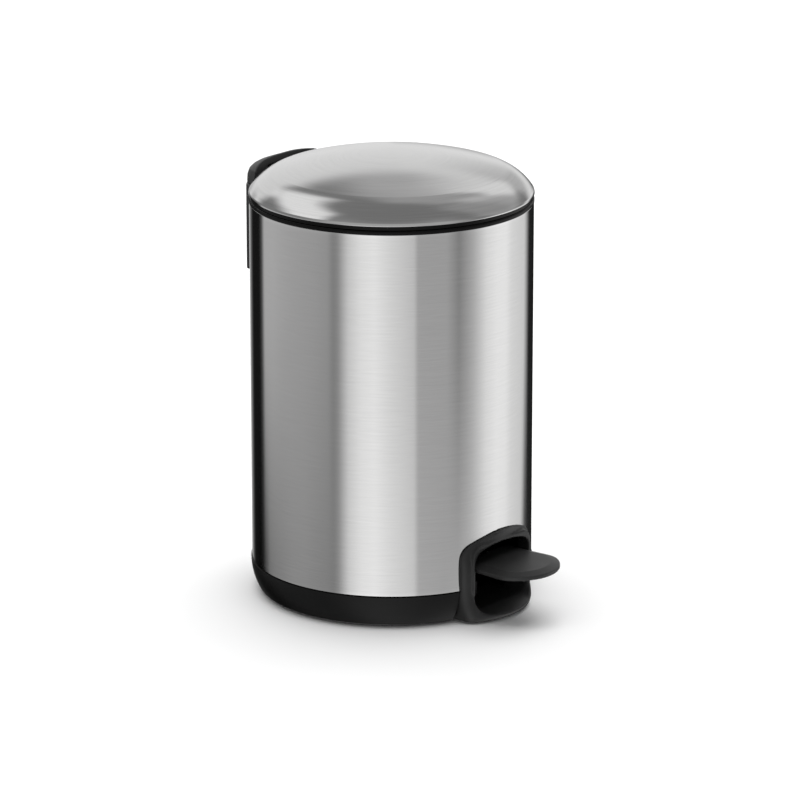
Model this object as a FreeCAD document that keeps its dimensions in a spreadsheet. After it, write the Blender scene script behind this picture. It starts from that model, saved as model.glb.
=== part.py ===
import FreeCAD, Part
import math
import os
import re
import Sketcher

# A small pedal bin: a round steel can with a domed lid that a pedal opens through a push rod.
# +Z is up, the origin is on the can's axis at the floor, the pedal is at -Y and the hinge at +Y.
# All sizes are in millimetres and live in the sheet "dims".

Vector = FreeCAD.Vector
os.makedirs("parts", exist_ok=True)
doc = FreeCAD.newDocument("pedal_bin")

DIMENSIONS = {
    # can
    "shell_radius": 85.0,
    "shell_wall": 0.6,
    "shell_foot": 20.4,
    "shell_top": 241.9,
    "hem_depth": 1.2,
    "hem_height": 1.4,
    "hem_round": 0.5,
    # base tray and its rubber ring
    "tray_radius": 85.6,
    "tray_top": 20.2,
    "tray_curve": 36.0,
    "tray_floor": 1.0,
    "tray_wall": 2.3,
    "sleeve_radius": 83.7,
    "sleeve_top": 31.0,
    "stand_level": 3.25,
    "screw_depth": 7.7,
    "ring_outer": 76.0,
    "ring_inner": 69.5,
    # collar on the can's top edge
    "collar_radius": 85.2,
    "collar_top": 244.2,
    "collar_round": 1.0,
    "well_radius": 73.2,
    "well_wall": 1.6,
    "ledge_top": 238.2,
    "ledge_radius": 71.0,
    "skirt_radius": 83.65,
    "skirt_foot": 229.0,
    # lid
    "lid_radius": 85.3,
    "lid_edge": 246.9,
    "lid_wall": 0.7,
    "rim_round": 3.0,
    "shoulder": 29.2,
    "crown_round": 240.0,
    "shoulder_angle": 56.66,
    "liner_foot": 244.55,
    "liner_radius": 84.7,
    "liner_face": 247.2,
    # hinge
    "pin_y": 90.0,
    "pin_z": 248.0,
    "pin_radius": 1.5,
    "pin_reach": 15.0,
    "knuckle": 3.2,
    "ear_round": 3.0,
    "arm_length": 12.5,
    "arm_angle": 38.0,
    "nose": 2.2,
    "hood_half": 35.7,
    "hood_top": 257.2,
    "hood_foot": 244.7,
    "hood_back": 4.6,
    "hood_front": 85.9,
    "housing_half": 36.0,
    "cover_flat": 16.0,
    "cover_bow": 20.5,
    "housing_back": 94.9,
    "housing_top": 244.2,
    "housing_foot": 190.0,
    "housing_wall": 1.8,
    "housing_corner": 8.0,
    "housing_hollow": 19.0,
    "housing_side_hollow": 27.0,
    "housing_side_back": 90.0,
    "housing_screw_x": 20.0,
    "housing_screw_z": 200.0,
    "bracket_half": 11.0,
    "bracket_foot": 204.0,
    "bracket_top": 236.0,
    "bracket_thick": 1.5,
    "bracket_screw_x": 8.0,
    "bracket_screw_low": 212.0,
    "bracket_screw_high": 228.0,
    "ear_outside": 8.3,
    "ear_inside": 4.3,
    "arm_inside": 8.6,
    "arm_thick": 5.4,
    "cross_pin_y": 85.4,
    "cross_pin_z": 244.5,
    "cross_pin_radius": 1.0,
    "cross_pin_half": 13.5,
    # push rod
    "rod_y": 80.15,
    "rod_radius": 1.8,
    "cap_radius": 3.3,
    "cap_height": 6.0,
    "cap_gap": 0.6,
    "foot_radius": 3.6,
    "foot_dome": 4.0,
    "foot_gap": 0.35,
    "guide_foot": 207.0,
    "guide_high": 10.0,
    # pedal
    "pivot_z": 20.8,
    "pivot_radius": 2.0,
    "pivot_half": 19.0,
    "block_wide": 7.0,
    "bush_radius": 3.4,
    "strap_width": 20.0,
    "strap_thick": 2.5,
    "strap_low": 24.0,
    "strap_high": 28.8,
    "strap_back": 83.5,
    "strap_front": 110.0,
    "tread_half": 25.2,
    "tread_neck": 24.2,
    "tread_tip": 122.8,
    "tread_back": 73.0,
    "tread_foot": 31.35,
    "tread_rim": 34.2,
    "tread_top": 35.8,
    "tread_tip_round": 27.0,
    "tread_corner": 15.0,
    "tread_shoulder": 88.0,
    "tread_bevel": 5.5,
    # pedal surround
    "surround_half": 32.0,
    "surround_back": 69.0,
    "surround_foot": 1.05,
    "surround_top": 53.4,
    "surround_corner": 12.0,
    "surround_crest": 70.0,
    "opening_half": 25.0,
    "opening_low": 7.9,
    "opening_corner": 7.5,
    "opening_crest": 100.0,
    "opening_high": 45.6,
    "sleeve_wall": 2.0,
    "funnel_half": 28.3,
    "funnel_low": 3.2,
    "funnel_start": 84.5,
    "funnel_reach": 98.0,
    # inner bucket
    "bucket_foot": 46.0,
    "bucket_low": 65.0,
    "bucket_high": 70.6,
    "bucket_wall": 1.3,
    "bucket_rim": 72.9,
    "bucket_top": 240.7,
    "bail_z": 232.0,
    "bail_radius": 64.6,
    "bail_wire": 1.1,
    "bail_end": 70.9,
    # fasteners
    "screw_radius": 1.25,
    "screw_head": 2.2,
    "head_height": 1.1,
    "fit": 0.05,
}

sheet = doc.addObject("Spreadsheet::Sheet", "dims")
for row, (alias, size) in enumerate(DIMENSIONS.items(), start=1):
    sheet.set(f"A{row}", alias)
    sheet.set(f"B{row}", str(size))
    sheet.setAlias(f"B{row}", alias)
doc.recompute()

SUB_PARTS = []


def bound(text):
    """Turn words such as shell_radius into references to the sheet."""

    def named(word):
        return "dims." + word[0] if word[0] in DIMENSIONS else word[0]

    return re.sub(r"[a-z][a-z_]*", named, str(text))


def number(text):
    """Work out an expression's value with the sheet's present sizes."""
    return float(sheet.evalExpression(bound(text)))


def new_body(label):
    body = doc.addObject("PartDesign::Body", label)
    body.Label = label
    SUB_PARTS.append(body)
    return body


def origin_plane(body, role):
    return next(item for item in body.Origin.OriginFeatures if item.Role == role)


def arc_between(start, end, radius):
    """A minor arc from start to end; a positive radius turns left. Returned as a counter-clockwise arc."""
    if radius < 0:
        start, end = end, start
    chord = end - start
    middle = (start + end) * 0.5
    height = max(radius * radius - chord.Length ** 2 / 4, 0) ** 0.5
    left = Vector(-chord.y, chord.x, 0).normalize()
    centre = middle + left * height
    circle = Part.Circle(centre, Vector(0, 0, 1), abs(radius))
    return Part.ArcOfCircle(circle, circle.parameter(start), circle.parameter(end))


def add_outline(sketch, corners):
    """Close a loop of lines and arcs.

    A corner is (across, up), or (across, up, radius) where an arc of that radius leaves it.
    """
    first = sketch.GeometryCount
    points = [Vector(number(corner[0]), number(corner[1]), 0) for corner in corners]
    radii = [number(corner[2]) if len(corner) == 3 else 0.0 for corner in corners]
    count = len(corners)
    for index, radius in enumerate(radii):
        start, end = points[index], points[(index + 1) % count]
        sketch.addGeometry(arc_between(start, end, radius) if radius else Part.LineSegment(start, end))
    # An arc that turns right is stored backwards, so its first end is its second vertex.
    starts = [2 if radius < 0 else 1 for radius in radii]
    for index, corner in enumerate(corners):
        following = (index + 1) % count
        join = Sketcher.Constraint(
            "Coincident", first + index, 3 - starts[index], first + following, starts[following]
        )
        sketch.addConstraint(join)
        for kind, text in (("DistanceX", corner[0]), ("DistanceY", corner[1])):
            place = Sketcher.Constraint(kind, -1, 1, first + index, starts[index], number(text))
            sketch.setExpression(f"Constraints[{sketch.addConstraint(place)}]", bound(text))
        if len(corner) == 3:
            size = Sketcher.Constraint("Radius", first + index, abs(radii[index]))
            text = f"abs({bound(corner[2])})"
            sketch.setExpression(f"Constraints[{sketch.addConstraint(size)}]", text)


def add_circle(sketch, across, up, radius):
    centre = Vector(number(across), number(up), 0)
    index = sketch.addGeometry(Part.Circle(centre, Vector(0, 0, 1), number(radius)))
    for kind, text in (("DistanceX", across), ("DistanceY", up)):
        place = Sketcher.Constraint(kind, -1, 1, index, 3, number(text))
        sketch.setExpression(f"Constraints[{sketch.addConstraint(place)}]", bound(text))
    size = Sketcher.Constraint("Radius", index, number(radius))
    sketch.setExpression(f"Constraints[{sketch.addConstraint(size)}]", bound(radius))


def draw(body, role, outlines=(), circles=(), offset="0"):
    """A sketch on one of the body's own origin planes, moved along that plane's normal by offset."""
    sketch = body.newObject("Sketcher::SketchObject", body.Label + "_sketch")
    sketch.AttachmentSupport = [(origin_plane(body, role), "")]
    sketch.MapMode = "FlatFace"
    sketch.AttachmentOffset = FreeCAD.Placement(Vector(0, 0, number(offset)), FreeCAD.Rotation())
    sketch.setExpression("AttachmentOffset.Base.z", bound(offset))
    for corners in outlines:
        add_outline(sketch, corners)
    for circle in circles:
        add_circle(sketch, *circle)
    return sketch


def rectangle(left, right, low, high):
    return [(left, low), (right, low), (right, high), (left, high)]


def rounded(half, low, high, corner):
    """A rectangle about the vertical axis with four equal round corners."""
    inner = f"({half}) - ({corner})"
    bottom = f"({low}) + ({corner})"
    top = f"({high}) - ({corner})"
    return [
        (f"-({inner})", low), (inner, low, corner),
        (half, bottom), (half, top, corner),
        (inner, high), (f"-({inner})", high, corner),
        (f"-({half})", top), (f"-({half})", bottom, corner),
    ]


def arched(half, low, high, corner, crest):
    """A rectangle with four equal round corners and a top bowed up on an arc of radius crest."""
    side = f"(({half}) - ({corner}))"
    reach = f"(({crest}) - ({corner}))"
    rise = f"sqrt({reach} ^ 2 - {side} ^ 2)"
    centre = f"(({high}) - ({crest}))"
    touch = f"({side} * ({crest}) / {reach})"
    touch_up = f"({centre} + {rise} * ({crest}) / {reach})"
    bottom = f"(({low}) + ({corner}))"
    return [
        (f"-{side}", low), (side, low, corner),
        (half, bottom), (half, f"{centre} + {rise}", corner),
        (touch, touch_up, crest), (f"-{touch}", touch_up, corner),
        (f"-({half})", f"{centre} + {rise}"), (f"-({half})", bottom, corner),
    ]


def feature(body, kind, sketch, length=None, reverse=False, symmetric=False):
    """Pad, Pocket, Revolution or Groove of a sketch. A turned feature goes all the way round."""
    before = body.Shape.Volume if body.Shape.Faces else 0.0
    item = body.newObject("PartDesign::" + kind, f"{body.Label}_{kind.lower()}")
    item.Profile = sketch
    if kind in ("Revolution", "Groove"):
        item.ReferenceAxis = (sketch, ["V_Axis"])
        item.Angle = 360
    else:
        item.SideType = "Symmetric" if symmetric else "One side"
        # A pocket's own direction is against its sketch, so it is turned to run the same way as a pad.
        item.Reversed = reverse != (kind == "Pocket")
        item.setExpression("Length", bound(length))
    sketch.Visibility = False
    doc.recompute()
    change = body.Shape.Volume - before
    if kind in ("Pocket", "Groove"):
        change = -change
    if change < 0.01:
        raise RuntimeError(f"{item.Name} did not change the solid as it should")
    return item


def fillet(body, radius, wanted):
    """Round the edges of the body whose middle point passes the test."""
    base = body.Tip
    names = [
        f"Edge{index}"
        for index, edge in enumerate(base.Shape.Edges, start=1)
        if wanted(edge.valueAt((edge.FirstParameter + edge.LastParameter) / 2), edge)
    ]
    item = body.newObject("PartDesign::Fillet", body.Label + "_fillet")
    item.Base = (base, names)
    item.setExpression("Radius", bound(radius))
    doc.recompute()
    return item


def cut_box(body, role, left, right, low, high, length, offset="0", reverse=False, symmetric=False):
    sketch = draw(body, role, [rectangle(left, right, low, high)], offset=offset)
    return feature(body, "Pocket", sketch, length, reverse, symmetric)


def cut_holes(body, role, circles, length, offset="0", reverse=False, symmetric=False):
    sketch = draw(body, role, circles=circles, offset=offset)
    return feature(body, "Pocket", sketch, length, reverse, symmetric)


def turned(label, corners, offset="0"):
    """A body made by turning an outline of (radius, height) corners about an upright axis."""
    body = new_body(label)
    feature(body, "Revolution", draw(body, "XZ_Plane", [corners], offset=offset))
    return body


def rod_piece(label, axis, start, radius, length):
    """A straight round bar along X or Z from a start point given as three expressions."""
    bar = doc.addObject("Part::Cylinder", label + "_bar")
    bar.setExpression("Radius", bound(radius))
    bar.setExpression("Height", bound(length))
    bar.Placement = FreeCAD.Placement(Vector(), FreeCAD.Rotation(Vector(0, 0, 1), axis))
    for name, text in zip("xyz", start):
        bar.setExpression(f"Placement.Base.{name}", bound(text))
    return bar


def fasteners(label, axis, spots, shank):
    """Identical screws: a round head at each spot and a shank that leaves it along the axis."""
    screws = []
    for index, spot in enumerate(spots):
        head = rod_piece(f"{label}_head_{index}", axis, spot, "screw_head", "head_height")
        stem = rod_piece(f"{label}_stem_{index}", axis, spot, "screw_radius", shank)
        screw = doc.addObject("Part::Fuse", f"{label}_screw_{index}")
        screw.Base = head
        screw.Tool = stem
        screws.append(screw)
    group = doc.addObject("Part::Compound", label)
    group.Label = label
    group.Links = screws
    SUB_PARTS.append(group)
    return group


UP = Vector(0, 0, 1)
BACKWARD = Vector(0, 1, 0)
SIDEWAYS = Vector(1, 0, 0)


# Places of the screws: those under the can are (x, y), those through its back are (x, z).
LUG_SPOTS = [("-20", "-63"), ("20", "-63")]
BLOCK_SPOTS = [(x, y) for x in ("-15.5", "15.5") for y in ("-4.5", "4.5")]
GUIDE_SPOTS = [("-14.25", "72.6"), ("14.25", "72.6")]
BASE_SPOTS = LUG_SPOTS + BLOCK_SPOTS + GUIDE_SPOTS
LOW_BRACKET_SPOTS = [("-bracket_screw_x", "bracket_screw_low"), ("bracket_screw_x", "bracket_screw_low")]
HIGH_BRACKET_SPOTS = [("-bracket_screw_x", "bracket_screw_high"), ("bracket_screw_x", "bracket_screw_high")]
BRACKET_SPOTS = LOW_BRACKET_SPOTS + HIGH_BRACKET_SPOTS
HOUSING_SPOTS = [("-housing_screw_x", "housing_screw_z"), ("housing_screw_x", "housing_screw_z")]
HOOD_SPOTS = [("-20", "86.4"), ("20", "86.4")]
RIVET_SPOTS = ["-84", "-102"]
# Places of the rubber pads that the lid lies on.
BUFFER_SPOTS = [("0", "-80"), ("-69.3", "40"), ("69.3", "40")]


# ---------------------------------------------------------------- can

def make_body_shell():
    inner = "shell_radius - shell_wall"
    hem = "shell_radius - hem_depth"
    corners = [
        (hem, "shell_foot"), ("shell_radius - hem_round", "shell_foot"),
        ("shell_radius", "shell_foot + hem_round"), ("shell_radius", "shell_top - hem_round", "hem_round"),
        ("shell_radius - hem_round", "shell_top"), (hem, "shell_top"), (hem, "shell_top - hem_height"),
        (inner, "shell_top - hem_height"), (inner, "shell_foot + hem_height"),
        (hem, "shell_foot + hem_height"),
    ]
    body = turned("body_shell", corners)
    # window for the pedal's surround
    window = "opening_half + sleeve_wall + 0.3"
    window_top = "opening_high + sleeve_wall + 0.3"
    cut_box(body, "XZ_Plane", f"-({window})", window, "0", window_top, "30", "60")
    # notch for the lid's lever
    cut_box(body, "XZ_Plane", "-4.7", "4.7", "239.5", "250", "20", "-75", reverse=True)
    # holes for the hinge bracket's and the housing's screws
    holes = [(x, z, "screw_radius + fit") for x, z in BRACKET_SPOTS + HOUSING_SPOTS]
    cut_holes(body, "XZ_Plane", holes, "20", "-75", reverse=True)


def make_base_tray():
    # The outside turns in on one arc that is upright at the top edge.
    low = "tray_floor + 1.6"
    low_radius = f"(tray_radius - tray_curve + sqrt(tray_curve ^ 2 - (tray_top - ({low})) ^ 2))"
    inner_curve = "tray_curve - tray_wall"
    floor_top = "stand_level - 0.05"
    inner_drop = f"(tray_top - ({floor_top}) - 2)"
    inner_low = f"(tray_radius - tray_curve + sqrt(({inner_curve}) ^ 2 - {inner_drop} ^ 2))"
    corners = [
        ("0", "tray_floor"), (f"{low_radius} - 2.2", "tray_floor", "3"),
        (low_radius, low, "tray_curve"), ("tray_radius", "tray_top"),
        ("sleeve_radius", "tray_top"), ("sleeve_radius", "sleeve_top"),
        ("sleeve_radius - 1.6", "sleeve_top"), ("sleeve_radius - 1.6", "tray_top - 4"),
        (inner_low, f"{floor_top} + 2"), (f"{inner_low} - 2", floor_top), ("0", floor_top),
    ]
    body = turned("base_tray", corners)
    # bay that the pedal's surround fills
    bay = "surround_half + 0.15"
    cut_box(body, "XZ_Plane", f"-({bay})", bay, "-1", "sleeve_top + 1", "30", "surround_back - 0.1")
    # clearance for the pedal lever's end
    cut_box(body, "XZ_Plane", "-11.5", "11.5", "tray_top + 0.2", "sleeve_top + 1", "30", "-70", reverse=True)
    cut_holes(body, "XY_Plane", [(x, y, "screw_radius + fit") for x, y in BASE_SPOTS], "10")
    sinks = [(x, y, "screw_head + fit") for x, y in BASE_SPOTS]
    cut_holes(body, "XY_Plane", sinks, "head_height + fit", "tray_floor")


def make_anti_slip_ring():
    turned("anti_slip_ring", [
        ("ring_inner", "0"), ("ring_outer - 0.5", "0", "0.5"), ("ring_outer", "0.5"),
        ("ring_outer", "tray_floor"), ("ring_inner", "tray_floor"),
    ])


def make_top_collar():
    well_out = "well_radius + well_wall"
    body = turned("top_collar", [
        ("ledge_radius", "ledge_top"), ("ledge_radius", "ledge_top - 1.4"), (well_out, "ledge_top - 1.4"),
        (well_out, "shell_top + 0.5"), ("skirt_radius - well_wall", "shell_top + 0.5"),
        ("skirt_radius - well_wall", "skirt_foot"), ("skirt_radius", "skirt_foot"),
        ("skirt_radius", "shell_top + 0.05"), ("collar_radius", "shell_top + 0.05"),
        ("collar_radius", "collar_top - collar_round", "collar_round"),
        ("collar_radius - collar_round", "collar_top"), ("well_radius", "collar_top"),
        ("well_radius", "ledge_top"),
    ])
    # gap at the back for the lid's arms, its lever and the push rod
    cut_box(body, "XZ_Plane", "-15.5", "15.5", "skirt_foot - 1", "collar_top + 1", "20",
            f"-({well_out}) - 0.05", reverse=True)
    cut_holes(body, "XY_Plane", [(x, y, "3 + fit") for x, y in BUFFER_SPOTS], "2", "collar_top - 1")


def make_lid_buffers():
    pads = []
    for index, (x, y) in enumerate(BUFFER_SPOTS):
        pads.append(rod_piece(f"lid_buffer_{index}", UP, (x, y, "collar_top - 1"), "3", "1.25"))
    group = doc.addObject("Part::Compound", "lid_buffers")
    group.Label = "lid_buffers"
    group.Links = pads
    SUB_PARTS.append(group)


# ---------------------------------------------------------------- pedal surround

def plan_section(half, apex, bow, corner):
    """Plan of the surround at one height: straight back and sides, round corners and a bowed front."""
    centre = f"(({apex}) - ({bow}))"
    reach = f"(({bow}) - ({corner}))"
    side = f"(({half}) - ({corner}))"
    drop = f"sqrt({reach} ^ 2 - {side} ^ 2)"
    corner_y = f"({centre} + {drop})"
    touch_x = f"(({bow}) * {side} / {reach})"
    touch_y = f"({centre} + ({bow}) * {drop} / {reach})"
    return [
        (f"-({half})", "-surround_back"), (f"-({half})", f"-{corner_y}", corner),
        (f"-{touch_x}", f"-{touch_y}", bow), (touch_x, f"-{touch_y}", corner),
        (half, f"-{corner_y}"), (half, "-surround_back"),
    ]


def make_pedal_surround():
    body = new_body("pedal_surround")
    # height, half-width, furthest reach, radius of the bowed front, radius of the corners
    levels = [
        ("surround_foot", "surround_half - 3.2", "94.2", "46", "9"),
        ("surround_foot + 4", "surround_half - 1.6", "95.9", "46", "9"),
        ("surround_foot + 13", "surround_half - 0.4", "92.3", "58", "8"),
        ("surround_foot + 24", "surround_half", "89.4", "80", "6"),
        ("surround_foot + 38", "surround_half", "88.6", "87", "5"),
        ("surround_top + 2", "surround_half", "88.4", "88", "5"),
    ]
    sections = []
    for height, half, apex, bow, corner in levels:
        sections.append(draw(body, "XY_Plane", [plan_section(half, apex, bow, corner)], offset=height))
    loft = body.newObject("PartDesign::AdditiveLoft", "surround_loft")
    loft.Profile = sections[0]
    loft.Sections = sections[1:]
    loft.Ruled = False
    doc.recompute()
    # The frame's flange lies on the outside of the can above the tray.
    flange_back = [("0", "tray_top + 0.1"), ("shell_radius + 0.05", "tray_top + 0.1"),
                   ("shell_radius + 0.05", "surround_top + 5"), ("0", "surround_top + 5")]
    feature(body, "Groove", draw(body, "XZ_Plane", [flange_back]))
    # arched top of the frame
    outside = rectangle("-60", "60", "-45", "surround_top + 10")
    frame = arched("surround_half + 0.5", "-40", "surround_top", "surround_corner", "surround_crest")
    feature(body, "Pocket", draw(body, "XZ_Plane", [outside, frame], offset="60"), "50")
    # sleeve through the can's wall
    sleeve = rounded("opening_half + sleeve_wall", "tray_top - 6", "opening_high + sleeve_wall", "7")
    feature(body, "Pad", draw(body, "XZ_Plane", [sleeve], offset="78"), "8.5")
    # lugs that stand on the tray's floor
    lug = rectangle("-24", "24", "-surround_back - 1", "-57")
    feature(body, "Pad", draw(body, "XY_Plane", [lug], offset="stand_level"), "4.6")
    cut_holes(body, "XY_Plane", [(x, y, "screw_radius + fit") for x, y in LUG_SPOTS], "screw_depth")
    opening = arched("opening_half", "opening_low", "opening_high", "opening_corner", "opening_crest")
    feature(body, "Pocket", draw(body, "XZ_Plane", [opening], offset="55"), "50")
    # The mouth of the opening widens towards the foot like a funnel.
    mouth = arched("funnel_half", "funnel_low", "opening_high + 0.8", "opening_corner + 1", "opening_crest")
    funnel = body.newObject("PartDesign::SubtractiveLoft", "surround_funnel")
    funnel.Profile = draw(body, "XZ_Plane", [opening], offset="funnel_start")
    funnel.Sections = [draw(body, "XZ_Plane", [mouth], offset="funnel_reach")]
    funnel.Ruled = True
    doc.recompute()


# ---------------------------------------------------------------- pedal and its lever

def make_pedal_lever():
    """A steel strap, low under the bucket and stepped up where it carries the tread."""
    body = new_body("pedal_lever")
    side = [
        ("-strap_front", "strap_high"), ("-46", "strap_high"), ("-32", "strap_low"),
        ("strap_back", "strap_low"), ("strap_back", "strap_low + strap_thick"),
        ("-31.2", "strap_low + strap_thick"),
        ("-45.2", "strap_high + strap_thick"), ("-strap_front", "strap_high + strap_thick"),
    ]
    feature(body, "Pad", draw(body, "YZ_Plane", [side]), "strap_width", symmetric=True)
    fillet(body, "strap_width / 2 - 1", lambda middle, edge: edge.Length < 3 and abs(middle.y) > 80)
    holes = [("0", y, "screw_radius + fit") for y in RIVET_SPOTS]
    cut_holes(body, "XY_Plane", holes, "strap_thick + 2", "strap_high - 1")


def make_lever_bush():
    """The tube that turns on the pivot pin, with a flat saddle welded under the strap."""
    body = new_body("lever_bush")
    side = [
        ("-bush_radius", "strap_low"), ("-bush_radius", "pivot_z", "bush_radius"),
        ("0", "pivot_z - bush_radius", "bush_radius"), ("bush_radius", "pivot_z"),
        ("bush_radius", "strap_low"),
    ]
    feature(body, "Pad", draw(body, "YZ_Plane", [side]), "23", symmetric=True)
    cut_holes(body, "YZ_Plane", [("0", "pivot_z", "pivot_radius + fit")], "30", symmetric=True)


def make_pivot_pin():
    start = ("-pivot_half", "0", "pivot_z")
    pin = rod_piece("pedal_pivot_pin", SIDEWAYS, start, "pivot_radius", "2 * pivot_half")
    pin.Label = "pedal_pivot_pin"
    SUB_PARTS.append(pin)


def make_pivot_blocks():
    """Two bearing blocks that stand on the tray's floor."""
    side = [
        ("-8", "stand_level"), ("8", "stand_level"), ("4.2", "pivot_z", "4.2"),
        ("0", "pivot_z + 4.2", "4.2"), ("-4.2", "pivot_z"),
    ]
    sides = {"pivot_block_left": "-pivot_half", "pivot_block_right": "pivot_half - block_wide"}
    for label, left in sides.items():
        body = new_body(label)
        feature(body, "Pad", draw(body, "YZ_Plane", [side], offset=left), "block_wide")
        cut_holes(body, "YZ_Plane", [("0", "pivot_z", "pivot_radius + fit")], "block_wide", left)
        holes = [(x, y, "screw_radius + fit") for x, y in BLOCK_SPOTS if float(x) * number(left) > 0]
        cut_holes(body, "XY_Plane", holes, "screw_depth")


def tread_plan(inset):
    """Outline of the tread from above: a straight neck, then a blunt round tip."""
    half = f"(tread_half - ({inset}))"
    tip = f"(tread_tip - ({inset}))"
    tip_round = f"(tread_tip_round - ({inset}))"
    corner = f"(tread_corner - ({inset}))"
    centre = f"({tip} - {tip_round})"
    reach = f"({tip_round} - {corner})"
    side = f"({half} - {corner})"
    drop = f"sqrt({reach} ^ 2 - {side} ^ 2)"
    corner_y = f"({centre} + {drop})"
    touch_x = f"({tip_round} * {side} / {reach})"
    touch_y = f"({centre} + {tip_round} * {drop} / {reach})"
    neck = f"(tread_neck - ({inset}))"
    return [
        (f"-{neck}", "-tread_back"), (f"-{neck}", "-tread_shoulder"), (f"-{half}", f"-{corner_y}", corner),
        (f"-{touch_x}", f"-{touch_y}", tip_round), (touch_x, f"-{touch_y}", corner),
        (half, f"-{corner_y}"), (neck, "-tread_shoulder"), (neck, "-tread_back"),
    ]


def make_pedal_tread():
    """Moulded tread: an upright rim, a bevel up to the flat top, and a spine round the strap below."""
    body = new_body("pedal_tread")
    rim = draw(body, "XY_Plane", [tread_plan("0")], offset="tread_foot")
    feature(body, "Pad", rim, "tread_rim - tread_foot")
    low = number("tread_foot")
    back = -number("tread_back")
    fillet(body, "1.2", lambda middle, edge: abs(middle.z - low) < 0.01 and middle.y < back - 0.5)
    lower = draw(body, "XY_Plane", [tread_plan("0.4")], offset="tread_rim - 0.02")
    upper = draw(body, "XY_Plane", [tread_plan("tread_bevel")], offset="tread_top")
    loft = body.newObject("PartDesign::AdditiveLoft", "tread_loft")
    loft.Profile = lower
    loft.Sections = [upper]
    loft.Ruled = True
    doc.recompute()
    spine = rectangle("-strap_width / 2 - 2.2", "strap_width / 2 + 2.2", "-strap_front - 2.4", "-90")
    feature(body, "Pad", draw(body, "XY_Plane", [spine], offset="strap_high"), "tread_foot - strap_high + 1")
    half = "strap_width / 2 + 0.1"
    cut_box(body, "XY_Plane", f"-({half})", half, "-strap_front - 0.1", "-60",
            "strap_thick + 0.05", "strap_high")
    holes = [("0", y, "screw_radius + fit") for y in RIVET_SPOTS]
    cut_holes(body, "XY_Plane", holes, "5", "strap_high")


def make_pedal_stop():
    stop = rod_piece("pedal_stop", UP, ("0", "-62.5", "tray_floor + 6.85"), "3.5", "7.7")
    stop.Label = "pedal_stop"
    SUB_PARTS.append(stop)


# ---------------------------------------------------------------- push rod

def make_push_rod():
    foot = "(strap_low + strap_thick + foot_gap)"
    nose_z = "(pin_z - arm_length * sin(arm_angle * 1 deg))"
    cap_top = f"({nose_z} - nose - cap_gap)"
    dome = "(foot_dome - sqrt(foot_dome ^ 2 - foot_radius ^ 2))"
    socket = "rod_radius + fit"
    turned("rod_foot", [
        ("0", foot, "foot_dome"), ("foot_radius", f"{foot} + {dome}"), ("foot_radius", f"{foot} + 7"),
        (socket, f"{foot} + 7"), (socket, f"{foot} + 3"), ("0", f"{foot} + 3"),
    ], "-rod_y")
    cap = turned("rod_cap", [
        (socket, f"{cap_top} - cap_height"), ("cap_radius", f"{cap_top} - cap_height"),
        ("cap_radius", f"{cap_top} - 0.8", "0.8"), ("cap_radius - 0.8", cap_top), ("0", cap_top),
        ("0", f"{cap_top} - 2.5"), (socket, f"{cap_top} - 2.5"),
    ], "-rod_y")
    # bevel that clears the lever's underside when the lid is open
    bevel = [("rod_y + 1.15", cap_top), ("rod_y + 4", f"{cap_top} - 2.9"), ("rod_y + 4", f"{cap_top} + 1"),
             ("rod_y + 1.15", f"{cap_top} + 1")]
    feature(cap, "Pocket", draw(cap, "YZ_Plane", [bevel]), "10", symmetric=True)
    length = f"{cap_top} - 2.5 - {foot} - 3"
    rod = rod_piece("push_rod", UP, ("0", "rod_y", f"{foot} + 3"), "rod_radius", length)
    rod.Label = "push_rod"
    SUB_PARTS.append(rod)


def make_rod_guides():
    hole = [("0", "rod_y", "rod_radius + 0.08")]
    lower = new_body("rod_guide_lower")
    plan = [("-16", "70"), ("16", "70"), ("16", "74"), ("7", "83.3"), ("-7", "83.3"), ("-16", "74")]
    feature(lower, "Pad", draw(lower, "XY_Plane", [plan], offset="stand_level"), "53")
    cut_box(lower, "XZ_Plane", "-12.4", "12.4", "0", "50", "30", "-60", reverse=True)
    cut_holes(lower, "XY_Plane", hole, "60")
    holes = [(x, y, "screw_radius + fit") for x, y in GUIDE_SPOTS]
    cut_holes(lower, "XY_Plane", holes, "screw_depth")
    upper = new_body("rod_guide_upper")
    plan = rectangle("-12", "12", "76.2", "82.8")
    feature(upper, "Pad", draw(upper, "XY_Plane", [plan], offset="guide_foot"), "guide_high")
    cut_holes(upper, "XY_Plane", hole, "shell_top")
    holes = [(x, z, "screw_radius + fit") for x, z in LOW_BRACKET_SPOTS]
    cut_holes(upper, "XZ_Plane", holes, "30", "-70", reverse=True)


# ---------------------------------------------------------------- hinge

def make_hinge_bracket():
    """A fixed steel bracket: a plate on the can's back and two ears that hold the pin."""
    body = new_body("hinge_bracket")
    plate = rounded("bracket_half", "bracket_foot", "bracket_top", "3")
    sketch = draw(body, "XZ_Plane", [plate], offset="-shell_radius - 0.1")
    feature(body, "Pad", sketch, "bracket_thick", reverse=True)
    ear = [
        ("86.2", "212"), ("92.2", "228"), ("92.2", "245.5"), ("pin_y + ear_round", "pin_z", "ear_round"),
        ("pin_y", "pin_z + ear_round", "ear_round"), ("pin_y - ear_round", "pin_z"), ("87.8", "245.5"),
        ("87.8", "237"), ("86.2", "234"),
    ]
    feature(body, "Pad", draw(body, "YZ_Plane", [ear]), "2 * ear_outside", symmetric=True)
    front = "shell_radius + 0.1 + bracket_thick"
    cut_box(body, "YZ_Plane", front, "pin_y + 6", "200", "pin_z + 6", "2 * ear_inside", symmetric=True)
    cut_holes(body, "YZ_Plane", [("pin_y", "pin_z", "pin_radius + fit")], "30", symmetric=True)
    holes = [(x, z, "screw_radius + fit") for x, z in BRACKET_SPOTS]
    cut_holes(body, "XZ_Plane", holes, "20", "-70", reverse=True)


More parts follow.
